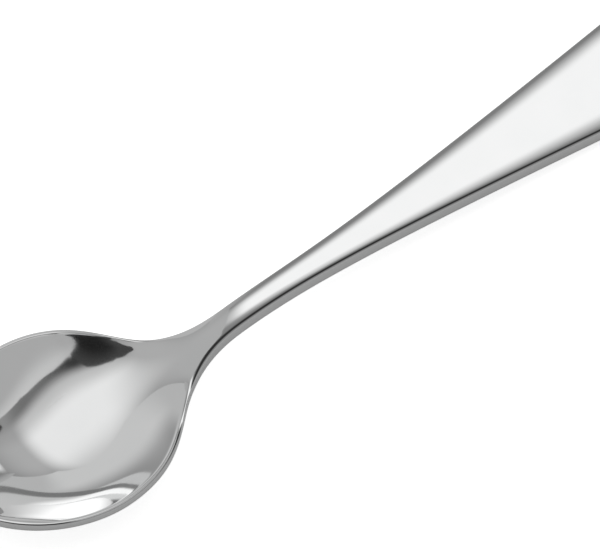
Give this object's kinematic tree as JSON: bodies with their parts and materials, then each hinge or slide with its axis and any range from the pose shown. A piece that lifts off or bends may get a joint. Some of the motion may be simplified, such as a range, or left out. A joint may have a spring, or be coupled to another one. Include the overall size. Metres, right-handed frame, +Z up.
{
  "type": "coffee spoon",
  "caption": "Polished stainless steel coffee spoon with a round dished bowl, a slim neck and a straight handle that widens to a broad rounded end.",
  "frame": {"origin": "middle of the bounding box, on the table that the spoon lies on with its bowl open upwards", "axes": "+X along the spoon from the tip of the bowl to the end of the handle, +Y to the left of that, +Z up out of the bowl"},
  "size_m": [0.1336, 0.0308, 0.0079],
  "materials": {
    "stainless_steel": "polished"
  },
  "bodies": {
    "root": {"coffee_spoon": "stainless_steel"}
  },
  "joints": []
}
